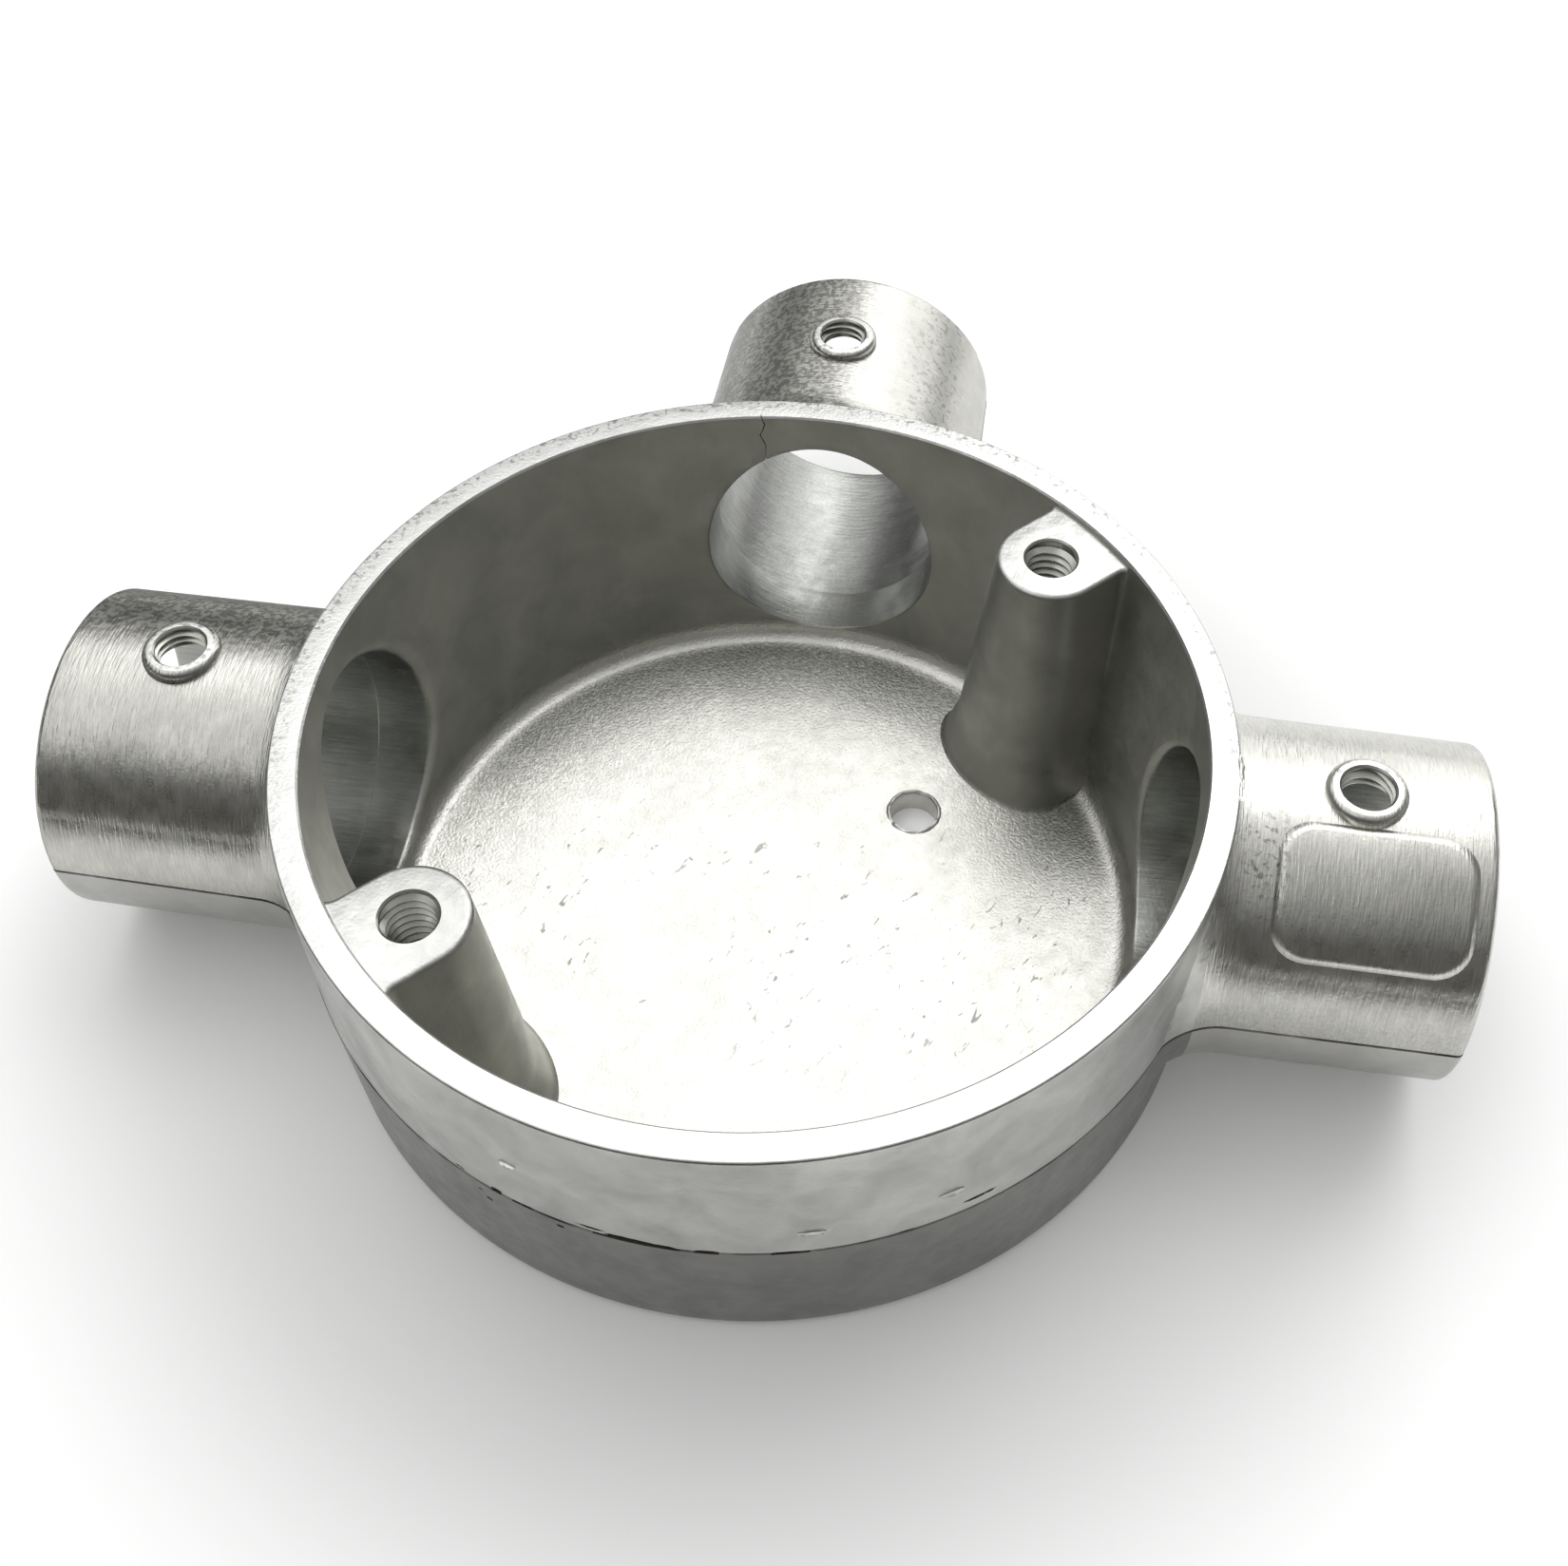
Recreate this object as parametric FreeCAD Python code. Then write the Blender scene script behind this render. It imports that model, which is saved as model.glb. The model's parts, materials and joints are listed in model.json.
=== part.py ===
"""Three-way round conduit box: one die casting with three spouts for plain-ended conduit.

Millimetres, +Z up. The origin is the centre of the flat underside. The middle spout points
along +Y and the two side spouts along +X and -X. The open rim at the top takes a round lid.
"""
import FreeCAD, Part
import math
import os

# Conduit and the spouts that take it
conduit_od = 20.0
conduit_clearance = 0.3
spout_wall = 1.2
spout_draft_deg = 0.5
spout_reach = 47.4
spout_angles_deg = (0.0, 90.0, 180.0)
socket_depth = 16.4
throat_bore = 17.7
flare_start = 0.2
flare_angle_deg = 28.0
flare_sink = 0.3
mouth_chamfer = 0.4

# Round box
rim_od = 62.7
rim_width = 2.0
rim_lift = 0.05
ground_gap = 0.2
upper_draft_deg = 0.75
lower_draft_deg = 2.0
base_chamfer = 0.8
floor_thickness = 2.0
floor_fillet = 1.5
core_draft_deg = 6.2

# Lid screw bosses
lid_screw_pitch = 50.8
lid_screw_angles_deg = (45.0, 225.0)
lid_thread_od = 4.0
lid_hole_depth = 15.0
lid_hole_chamfer = 0.15
boss_radius = 3.55
boss_recess = 0.45
boss_draft_deg = 5.2
boss_corner_chamfer = 0.6
boss_foot = 0.8

# Set screw pads on the spouts
set_thread_od = 4.0
set_screw_setback = 8.2
pad_od = 5.4
pad_height = 0.7
pad_chamfer = 0.25

# Fixing hole in the floor
fixing_hole_d = 3.7
fixing_hole_offset = 14.1
fixing_hole_angle_deg = 45.0

# Bare raised panel on the right-hand spout
panel_length = 11.6
panel_width = 8.4
panel_corner = 2.2
panel_raise = 0.3
panel_setback = 7.4
panel_tilt_deg = 35.5

# Room for cutters to run past a face
overrun = 3.0

# Sizes that follow from the driving dimensions
socket_r = (conduit_od + conduit_clearance) / 2
mouth_r = socket_r + spout_wall
spout_taper = math.tan(math.radians(spout_draft_deg))
rim_r = rim_od / 2
flare_x = rim_r + flare_start
flare_r = mouth_r + (spout_reach - flare_x) * spout_taper
flare_slope = math.radians(flare_angle_deg)
crest_r = flare_r + flare_start * math.tan(flare_slope)
axis_height = ground_gap + crest_r
box_height = axis_height + crest_r + rim_lift
parting_r = rim_r + (box_height - axis_height) * math.tan(math.radians(upper_draft_deg))
base_r = parting_r - axis_height * math.tan(math.radians(lower_draft_deg))
rim_inner_r = rim_r - rim_width
core_taper = math.tan(math.radians(core_draft_deg))
floor_r = rim_inner_r - (box_height - floor_thickness) * core_taper
boss_top = box_height - boss_recess
boss_taper = math.tan(math.radians(boss_draft_deg))

X_AXIS = FreeCAD.Vector(1, 0, 0)
Z_AXIS = FreeCAD.Vector(0, 0, 1)
ORIGIN = FreeCAD.Vector(0, 0, 0)


def vec(x, y, z):
    return FreeCAD.Vector(x, y, z)


def line(start, end):
    return Part.LineSegment(start, end).toShape()


def arc(start, middle, end):
    return Part.Arc(start, middle, end).toShape()


def corner_arc(center, radius, from_deg, to_deg):
    """Arc in the XZ plane about center, turning from one direction to the other."""
    turns = (from_deg, (from_deg + to_deg) / 2, to_deg)
    points = []
    for turn in turns:
        angle = math.radians(turn)
        points.append(center + vec(math.cos(angle), 0, math.sin(angle)) * radius)
    return arc(*points)


def revolved(edges, axis):
    face = Part.Face(Part.Wire(edges))
    return face.revolve(ORIGIN, axis, 360)


def turned(shape, angle_deg):
    """Copy of shape, turned about the box's axis."""
    copy = shape.copy()
    copy.rotate(ORIGIN, Z_AXIS, angle_deg)
    return copy


def box_outside():
    """Solid of the round body, drafted up and down from the parting plane at the spouts' axis."""
    foot = vec(base_r - base_chamfer, 0, 0)
    edge_top = vec(base_r, 0, base_chamfer)
    parting = vec(parting_r, 0, axis_height)
    rim = vec(rim_r, 0, box_height)
    rim_center = vec(0, 0, box_height)
    profile = [
        line(ORIGIN, foot),
        line(foot, edge_top),
        line(edge_top, parting),
        line(parting, rim),
        line(rim, rim_center),
        line(rim_center, ORIGIN),
    ]
    return revolved(profile, Z_AXIS)


def spout_outside():
    """Solid spout along +X: drafted barrel, chamfered mouth and a root flared into the round wall."""
    # The flare runs inward until it is sunk a little into the wall.
    sunk_r = parting_r - flare_sink
    toward_axis = flare_x * math.cos(flare_slope) - flare_r * math.sin(flare_slope)
    outside_by = flare_x ** 2 + flare_r ** 2 - sunk_r ** 2
    run = toward_axis - math.sqrt(toward_axis ** 2 - outside_by)
    barrel_start = vec(flare_x, 0, flare_r)
    flare_end = barrel_start + vec(-math.cos(flare_slope), 0, math.sin(flare_slope)) * run
    barrel_end = vec(spout_reach - mouth_chamfer, 0, mouth_r)
    face_start = vec(spout_reach, 0, mouth_r - mouth_chamfer)
    face_center = vec(spout_reach, 0, 0)
    root_center = vec(flare_end.x, 0, 0)
    profile = [
        line(root_center, flare_end),
        line(flare_end, barrel_start),
        line(barrel_start, barrel_end),
        line(barrel_end, face_start),
        line(face_start, face_center),
        line(face_center, root_center),
    ]
    spout = revolved(profile, X_AXIS)
    spout.translate(vec(0, 0, axis_height))
    return spout


def set_screw_pad():
    """Round pad on top of the spout along +X, standing on the barrel."""
    top = axis_height + mouth_r + pad_height
    bottom = axis_height + socket_r
    pad = Part.makeCylinder(pad_od / 2, top - bottom, vec(spout_reach - set_screw_setback, 0, bottom))
    top_edges = [edge for edge in pad.Edges if edge.BoundBox.ZMin > top - pad_chamfer / 2]
    return pad.makeChamfer(pad_chamfer, top_edges)


def raised_panel():
    """Rounded rectangle raised off the barrel of the spout along +X, on its front upper side."""
    half_length = panel_length / 2
    half_width = panel_width / 2
    height = mouth_r + spout_wall
    prism = Part.makeBox(panel_length, panel_width, height, vec(-half_length, -half_width, 0))
    upright = [edge for edge in prism.Edges if edge.BoundBox.ZLength > height / 2]
    prism = prism.makeFillet(panel_corner, upright)
    prism.rotate(ORIGIN, X_AXIS, panel_tilt_deg)
    prism.translate(vec(spout_reach - panel_setback, 0, axis_height))
    skin_length = panel_setback + panel_length
    skin_start = vec(spout_reach - skin_length, 0, axis_height)
    end_r = mouth_r + panel_raise
    start_r = end_r + skin_length * spout_taper
    skin = Part.makeCone(start_r, end_r, skin_length, skin_start, X_AXIS)
    return prism.common(skin)


def spout_bore():
    """Cutter for the spout along +X: socket for the conduit, its stop and the throat into the box."""
    stop = vec(spout_reach - socket_depth, 0, axis_height)
    socket = Part.makeCylinder(socket_r, socket_depth + overrun, stop, X_AXIS)
    throat_r = throat_bore / 2
    throat_start = vec(rim_inner_r - throat_r, 0, axis_height)
    throat_length = stop.x - throat_start.x + overrun
    throat = Part.makeCylinder(throat_r, throat_length, throat_start, X_AXIS)
    lead_start = vec(spout_reach - mouth_chamfer, 0, axis_height)
    lead_in = Part.makeCone(socket_r, socket_r + mouth_chamfer, mouth_chamfer, lead_start, X_AXIS)
    return socket.fuse([throat, lead_in])


def set_screw_hole():
    length = mouth_r + pad_height + overrun
    return Part.makeCylinder(set_thread_od / 2, length, vec(spout_reach - set_screw_setback, 0, axis_height))


def boss_outline(height, grow=0.0):
    """Plan of one boss column at a height: a round nose about the screw, splayed where it meets the wall."""
    nose_r = boss_radius + (boss_top - height) * boss_taper + grow
    wall_r = rim_inner_r - (box_height - height) * core_taper
    wall_y = nose_r + boss_corner_chamfer
    wall_x = math.sqrt(wall_r ** 2 - wall_y ** 2)
    screw_x = lid_screw_pitch / 2
    # Low down the wall comes close to the screw's axis, and the straight side stays past it.
    side_x = max(wall_x, screw_x + 2 * boss_corner_chamfer) - boss_corner_chamfer
    tip = vec(screw_x - nose_r, 0, height)
    left_points = [
        vec(screw_x, nose_r, height),
        vec(side_x, nose_r, height),
        vec(side_x + boss_corner_chamfer + overrun, wall_y + overrun, height),
    ]
    nose_left, side_left, past_left = left_points
    nose_right, side_right, past_right = [vec(point.x, -point.y, height) for point in left_points]
    return Part.Wire([
        line(past_right, side_right),
        line(side_right, nose_right),
        arc(nose_right, tip, nose_left),
        line(nose_left, side_left),
        line(side_left, past_left),
        line(past_left, past_right),
    ])


def boss_column():
    """One boss along +X as a drafted column on a splayed foot, running past the floor and the rim."""
    below = floor_thickness - boss_foot
    above = box_height + 3 * overrun
    foot_top = floor_thickness + boss_foot
    column = Part.makeLoft([boss_outline(below), boss_outline(above)], True, True)
    foot = Part.makeLoft([boss_outline(below, foot_top - below), boss_outline(foot_top)], True, True)
    return column.fuse(foot)


def plain_core():
    """Room inside the box without its bosses: drafted wall, filleted floor, open past the rim."""
    top = box_height + 2 * overrun
    draft = math.radians(core_draft_deg)
    # The fillet touches the floor and the drafted wall.
    inset = floor_fillet * (1 / math.cos(draft) - math.tan(draft))
    center = vec(floor_r - inset, 0, floor_thickness + floor_fillet)
    wall_start = center + vec(math.cos(draft), 0, -math.sin(draft)) * floor_fillet
    wall_end = vec(rim_inner_r + (top - box_height) * core_taper, 0, top)
    floor_center = vec(0, 0, floor_thickness)
    floor_end = vec(center.x, 0, floor_thickness)
    top_center = vec(0, 0, top)
    profile = [
        line(floor_center, floor_end),
        corner_arc(center, floor_fillet, -90, -core_draft_deg),
        line(wall_start, wall_end),
        line(wall_end, top_center),
        line(top_center, floor_center),
    ]
    return revolved(profile, Z_AXIS)


def box_core():
    """Everything inside the box: notched up to the boss tops and plain from there to the rim."""
    core = plain_core()
    column = boss_column()
    notched = core.cut([turned(column, angle) for angle in lid_screw_angles_deg])
    size = 2 * (rim_r + overrun)
    above = Part.makeBox(size, size, size, vec(-size / 2, -size / 2, boss_top))
    return notched.fuse(core.common(above))


def lid_screw_hole():
    """Cutter for one blind tapped hole along +X, with a chamfered mouth at the boss's top."""
    radius = lid_thread_od / 2
    mouth_top = box_height + overrun
    hole = Part.makeCylinder(radius, mouth_top - boss_top + lid_hole_depth, vec(0, 0, boss_top - lid_hole_depth))
    mouth = Part.makeCone(
        radius, radius + lid_hole_chamfer, lid_hole_chamfer, vec(0, 0, boss_top - lid_hole_chamfer)
    )
    cutter = hole.fuse(mouth)
    cutter.translate(vec(lid_screw_pitch / 2, 0, 0))
    return cutter


def fixing_hole():
    hole = Part.makeCylinder(
        fixing_hole_d / 2, floor_thickness + 2 * overrun, vec(fixing_hole_offset, 0, -overrun)
    )
    return turned(hole, fixing_hole_angle_deg)


def box_casting():
    spout = spout_outside()
    spouts = [turned(spout, angle) for angle in spout_angles_deg]
    size = 2 * (spout_reach + overrun)
    between_faces = Part.makeBox(size, size, box_height, vec(-size / 2, -size / 2, 0))
    outside = box_outside().fuse(spouts).common(between_faces)
    pad = set_screw_pad()
    outside = outside.fuse([turned(pad, angle) for angle in spout_angles_deg] + [raised_panel()])

    cutters = [box_core(), fixing_hole()]
    for angle in spout_angles_deg:
        cutters.append(turned(spout_bore(), angle))
        cutters.append(turned(set_screw_hole(), angle))
    for angle in lid_screw_angles_deg:
        cutters.append(turned(lid_screw_hole(), angle))
    casting = outside.cut(cutters).removeSplitter()
    return casting


os.makedirs("parts", exist_ok=True)
casting = box_casting()
casting.exportStep("parts/box_casting.step")
print("valid", casting.isValid(), "solids", len(casting.Solids), "volume", round(casting.Volume, 1))
print("height", round(box_height, 3), "axis", round(axis_height, 3), "box", casting.BoundBox)
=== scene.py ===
"""Three-way conduit box: one satin die casting, seen from above on a pale studio floor."""

import json
import math

import bmesh
import bpy
from mathutils import Matrix, Vector, noise


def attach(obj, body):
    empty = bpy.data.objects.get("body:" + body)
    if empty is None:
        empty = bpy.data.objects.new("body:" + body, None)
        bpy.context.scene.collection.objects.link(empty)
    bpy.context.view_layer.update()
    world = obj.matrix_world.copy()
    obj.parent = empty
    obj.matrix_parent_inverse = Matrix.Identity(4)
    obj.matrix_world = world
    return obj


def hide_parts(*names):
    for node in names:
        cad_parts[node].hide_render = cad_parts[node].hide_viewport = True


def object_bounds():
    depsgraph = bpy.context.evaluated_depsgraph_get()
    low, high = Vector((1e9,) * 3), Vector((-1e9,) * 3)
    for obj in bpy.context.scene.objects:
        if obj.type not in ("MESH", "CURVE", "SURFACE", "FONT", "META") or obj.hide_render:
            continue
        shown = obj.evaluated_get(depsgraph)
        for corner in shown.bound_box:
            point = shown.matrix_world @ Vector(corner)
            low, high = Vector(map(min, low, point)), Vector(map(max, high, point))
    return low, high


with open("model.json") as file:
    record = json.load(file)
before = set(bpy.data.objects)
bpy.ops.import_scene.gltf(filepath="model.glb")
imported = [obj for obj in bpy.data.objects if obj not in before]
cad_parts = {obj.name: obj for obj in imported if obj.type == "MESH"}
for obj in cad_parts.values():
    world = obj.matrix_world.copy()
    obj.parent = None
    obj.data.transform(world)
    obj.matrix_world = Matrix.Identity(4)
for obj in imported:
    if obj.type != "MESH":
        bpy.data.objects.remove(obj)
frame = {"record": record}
cad_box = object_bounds()
bpy.ops.object.select_all(action="DESELECT")

# Round body
# A shallow round pot, die-cast in a mould that parts level with the spouts' axis.
# Its wall leans in above and below that plane, and a fine groove stays where the flash was trimmed.
MM_PER_M = 1000.0
mounts = {mount["name"]: mount for mount in frame["record"]["mounts"]}
axis_height = mounts["conduit_right"]["pos_m"][2] * MM_PER_M
rim_height = mounts["lid_seat"]["pos_m"][2] * MM_PER_M
rim_radius = 31.35
parting_radius = 31.48
base_radius = 31.1
base_edge_round = 1.0
flat_base_radius = base_radius - 2 * base_edge_round
rim_edge_round = 0.18
mould_step = 0.05
groove_width = 0.18
groove_deepest = groove_width / 3
groove_depth = 0.16
round_steps = 256
row_height = 0.9
touching = 1e-3
weld_distance = 1e-4


def show_only(piece):
    bpy.ops.object.select_all(action="DESELECT")
    piece.select_set(True)
    bpy.context.view_layer.objects.active = piece


def select_points(mesh, wanted):
    """Selects the vertices of the mesh in edit mode for which wanted(place) holds."""
    shape = bmesh.from_edit_mesh(mesh)
    for vert in shape.verts:
        vert.select = wanted(vert.co)
    shape.select_flush_mode()
    shape.select_flush(True)
    bmesh.update_edit_mesh(mesh)


def draw_profile(name, corners, arc_points=6):
    """Line in the XZ plane through corners (x, z, radius of their round), left in edit mode."""
    bpy.ops.object.select_all(action="DESELECT")
    bpy.ops.mesh.primitive_plane_add(size=1)
    piece = bpy.context.object
    piece.name = name
    piece.data.name = name
    bpy.ops.object.mode_set(mode="EDIT")
    bpy.ops.mesh.merge(type="CENTER")
    places = [Vector((x, 0, z)) for x, z, _ in corners]
    bpy.ops.transform.translate(value=places[0])
    for before, after in zip(places, places[1:]):
        bpy.ops.mesh.extrude_region_move(TRANSFORM_OT_translate={"value": after - before})
    for index in range(1, len(corners) - 1):
        radius = corners[index][2]
        if radius == 0:
            continue
        corner = places[index]
        turn = (corner - places[index - 1]).angle(places[index + 1] - corner)
        select_points(piece.data, lambda place: (place - corner).length < touching)
        bpy.ops.mesh.bevel(
            offset=radius * math.tan(turn / 2), offset_type="OFFSET", affect="VERTICES",
            segments=arc_points, profile=0.5, clamp_overlap=False,
        )
    return piece


def divide_lines(piece, longest, wanted):
    """Cuts the profile's wanted lines into lengths no longer than the given one."""
    shape = bmesh.from_edit_mesh(piece.data)
    for edge in list(shape.edges):
        cuts = int(edge.calc_length() / longest)
        if cuts > 0 and wanted(*[vert.co for vert in edge.verts]):
            bmesh.ops.subdivide_edges(shape, edges=[edge], cuts=cuts)
    bmesh.update_edit_mesh(piece.data)


def spin_closed(piece, axis, center=(0, 0, 0), steps=round_steps):
    """Turns the profile right round the axis into a closed solid with its faces outwards."""
    bpy.ops.mesh.select_all(action="SELECT")
    bpy.ops.mesh.spin(steps=steps, angle=2 * math.pi, center=center, axis=axis)
    bpy.ops.mesh.select_all(action="SELECT")
    bpy.ops.mesh.remove_doubles(threshold=weld_distance)
    bpy.ops.mesh.normals_make_consistent(inside=False)
    bpy.ops.object.mode_set(mode="OBJECT")
    return piece


def combine(piece, tool, operation):
    """Joins a tool solid to the piece or cuts it away, and removes the tool."""
    show_only(piece)
    change = piece.modifiers.new(operation.lower(), "BOOLEAN")
    change.operation = operation
    change.solver = "MANIFOLD"
    change.object = tool
    bpy.ops.object.modifier_apply(modifier=change.name)
    bpy.data.objects.remove(tool)


casting = draw_profile("conduit_box", [
    (0, 0, 0),
    (flat_base_radius, 0, 0),
    (base_radius, 0, base_edge_round),
    (parting_radius, axis_height, 0),
    (parting_radius - groove_depth, axis_height + groove_deepest, 0),
    (parting_radius - mould_step, axis_height + groove_width, 0),
    (rim_radius, rim_height, rim_edge_round),
    (0, rim_height, 0),
])
divide_lines(casting, row_height, lambda a, b: abs(a.z - b.z) > row_height)
spin_closed(casting, (0, 0, 1))

# Spouts
# Three plain sleeves for conduit, cast in one with the body at left, right and back.
# Each tapers a little to its mouth, has a rounded lip, and flares where it runs into the wall.
spout_reach = cad_box[1][0] * MM_PER_M
socket_radius = mounts["conduit_right"]["dims"]["r_mm"]
spout_wall = 1.2
spout_angles = (0, 90, 180)
spout_taper = 0.16
mouth_radius = socket_radius + spout_wall
root_radius = mouth_radius + spout_taper
flare_round = 5.0
flare_corner_x = 29.28
flare_end_x = 27.5
flare_end_radius = 15.1
lip_round = 0.5
hidden_under_face = 0.02
barrel_steps = 192
cut_threshold = 1e-5


def turned_copy(piece, angle_deg):
    """Copy of a solid with a mesh of its own, turned about the box's axis."""
    copy = piece.copy()
    copy.data = piece.data.copy()
    copy.data.transform(Matrix.Rotation(math.radians(angle_deg), 4, "Z"))
    bpy.context.scene.collection.objects.link(copy)
    return copy


def cut_flat(height, keep_below):
    """Cuts the mesh in edit mode level at a height and closes the cut."""
    bpy.ops.mesh.select_all(action="SELECT")
    bpy.ops.mesh.bisect(
        plane_co=(0, 0, height), plane_no=(0, 0, 1), use_fill=True,
        clear_outer=keep_below, clear_inner=not keep_below, threshold=cut_threshold,
    )


spout = draw_profile("spout", [
    (flare_end_x, 0, 0),
    (flare_end_x, flare_end_radius, 0),
    (flare_corner_x, root_radius, flare_round),
    (spout_reach, mouth_radius, lip_round),
    (spout_reach, 0, 0),
], arc_points=10)
divide_lines(
    spout, row_height,
    lambda a, b: min(a.z, b.z) > socket_radius and abs(a.x - b.x) > row_height,
)
spin_closed(spout, (1, 0, 0), steps=barrel_steps)
bpy.ops.object.mode_set(mode="EDIT")
for rise in (groove_deepest, groove_width):
    bpy.ops.mesh.select_all(action="SELECT")
    bpy.ops.mesh.bisect(plane_co=(0, 0, rise), plane_no=(0, 0, 1), threshold=cut_threshold)
bpy.ops.object.mode_set(mode="OBJECT")
for vert in spout.data.vertices:
    if vert.co.z > groove_deepest / 2 and abs(vert.co.y) > socket_radius:
        in_groove = vert.co.z < 2 * groove_deepest
        vert.co.y *= 1 - (groove_depth if in_groove else mould_step) / mouth_radius
spout.data.transform(Matrix.Translation((0, 0, axis_height)))
show_only(spout)
bpy.ops.object.mode_set(mode="EDIT")
cut_flat(rim_height - hidden_under_face, keep_below=True)
cut_flat(hidden_under_face, keep_below=False)
bpy.ops.object.mode_set(mode="OBJECT")
for angle in spout_angles:
    combine(casting, turned_copy(spout, angle), "UNION")
bpy.data.objects.remove(spout)

# Inside of the pot
# The core leaves a drafted wall, a flat floor with a rounded corner, and the open top.
# The rim is ground flat afterwards, which leaves its inner edge slightly broken.
rim_width = 2.0
floor_height = 2.0
floor_round = 1.5
core_lean = math.radians(6.2)
core_draft = math.tan(core_lean)
inner_rim_radius = rim_radius - rim_width
inner_floor_radius = inner_rim_radius - (rim_height - floor_height) * core_draft
flat_floor_radius = inner_floor_radius - 1.5 * floor_round
broken_edge = 0.15
broken_edge_round = 0.1
clear_of_part = 3.0

core = draw_profile("core", [
    (0, floor_height, 0),
    (flat_floor_radius, floor_height, 0),
    (inner_floor_radius, floor_height, floor_round),
    (inner_rim_radius, rim_height - broken_edge, broken_edge_round),
    (inner_rim_radius + 2 * broken_edge, rim_height + broken_edge, 0),
    (inner_rim_radius + 2 * broken_edge, rim_height + clear_of_part, 0),
    (0, rim_height + clear_of_part, 0),
], arc_points=8)
divide_lines(core, row_height, lambda a, b: abs(a.z - b.z) > row_height)
spin_closed(core, (0, 0, 1))
combine(casting, core, "DIFFERENCE")

# Lid bosses
# Two half-round columns against the wall, on one diagonal, each with a tapped hole for a lid screw.
# They widen downwards with the core's draft and flare a little more in the last few millimetres.
boss_top = mounts["lid_screws"]["pos_m"][2] * MM_PER_M
lid_screw_place = mounts["lid_screws"]["dims"]["pcd_mm"] / 2
lid_screw_angles = (45, 225)
boss_radius = 3.85
boss_draft = math.tan(math.radians(4.65))
boss_corner_round = 0.9
boss_edge_round = 0.38
boss_flare = [
    (3.6, 0.0), (3.1, 0.04), (2.5, 0.13), (1.7, 0.27), (0.9, 0.40), (0.4, 0.48),
    (0.22, 0.53), (0.1, 0.60), (0.0, 0.71), (-1.0, 0.71),
]
boss_back_x = 30.3
boss_wall_x = 29.28
boss_wall_y = 5.3


def lay_flat():
    """Closes the profile in edit mode to a face and lays it level."""
    bpy.ops.mesh.select_all(action="SELECT")
    bpy.ops.mesh.edge_face_add()
    bpy.ops.transform.rotate(
        value=math.pi / 2, orient_axis="X", orient_type="GLOBAL", center_override=(0, 0, 0),
    )


boss = draw_profile("boss", [
    (boss_back_x, -boss_wall_y, 0),
    (boss_wall_x, -boss_wall_y, 0),
    (boss_wall_x, -boss_radius, boss_corner_round),
    (lid_screw_place - boss_radius, -boss_radius, boss_radius),
    (lid_screw_place - boss_radius, boss_radius, boss_radius),
    (boss_wall_x, boss_radius, boss_corner_round),
    (boss_wall_x, boss_wall_y, 0),
    (boss_back_x, boss_wall_y, 0),
], arc_points=14)
lay_flat()
bpy.ops.transform.translate(value=(0, 0, boss_top))
drop_before, spread_before = 0, 0
for rise, flare in boss_flare:
    drop = boss_top - floor_height - rise
    spread = drop * boss_draft + flare
    bpy.ops.mesh.extrude_region_move(
        TRANSFORM_OT_translate={"value": (spread_before - spread, 0, drop_before - drop)}
    )
    bpy.ops.transform.resize(
        value=(1, (boss_radius + spread) / (boss_radius + spread_before), 1),
        center_override=(0, 0, 0),
    )
    drop_before, spread_before = drop, spread
select_points(boss.data, lambda place: place.z > boss_top - touching)
bpy.ops.mesh.bevel(offset=boss_edge_round, segments=4, affect="EDGES", clamp_overlap=False)
bpy.ops.mesh.select_all(action="SELECT")
bpy.ops.mesh.normals_make_consistent(inside=False)
bpy.ops.object.mode_set(mode="OBJECT")
for angle in lid_screw_angles:
    combine(casting, turned_copy(boss, angle), "UNION")
bpy.data.objects.remove(boss)

# Set screw rings
# A low round ring on the crown of each spout stiffens the wall around the set screw's thread.
# It is part of the casting, with a well rounded top edge.
set_screw_place = mounts["set_screw_right"]["pos_m"][0] * MM_PER_M
ring_top = cad_box[1][2] * MM_PER_M - hidden_under_face
ring_radius = 2.58
ring_draft = 0.08
ring_edge_round = 0.52
ring_sink = 1.7
ring_steps = 96

ring = draw_profile("ring", [
    (0, ring_top - ring_sink, 0),
    (ring_radius + ring_draft, ring_top - ring_sink, 0),
    (ring_radius, ring_top, ring_edge_round),
    (0, ring_top, 0),
])
bpy.ops.mesh.select_all(action="SELECT")
bpy.ops.transform.translate(value=(set_screw_place, 0, 0))
spin_closed(ring, (0, 0, 1), center=(set_screw_place, 0, 0), steps=ring_steps)
for angle in spout_angles:
    combine(casting, turned_copy(ring, angle), "UNION")
bpy.data.objects.remove(ring)

# Raised panel
# A low rounded field on the front of the right-hand spout, smooth and bare.
# It follows the barrel's curve, and its sides slope down to the barrel from a small round.
panel_length, panel_width, panel_corner = 11.6, 8.4, 2.2
panel_middle_x = 40.0
panel_tilt = math.radians(35.5)
panel_raise = 0.3
panel_sink = 0.5
panel_flare = 1.0
panel_edge_round = 0.26
panel_strip = 0.3

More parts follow.
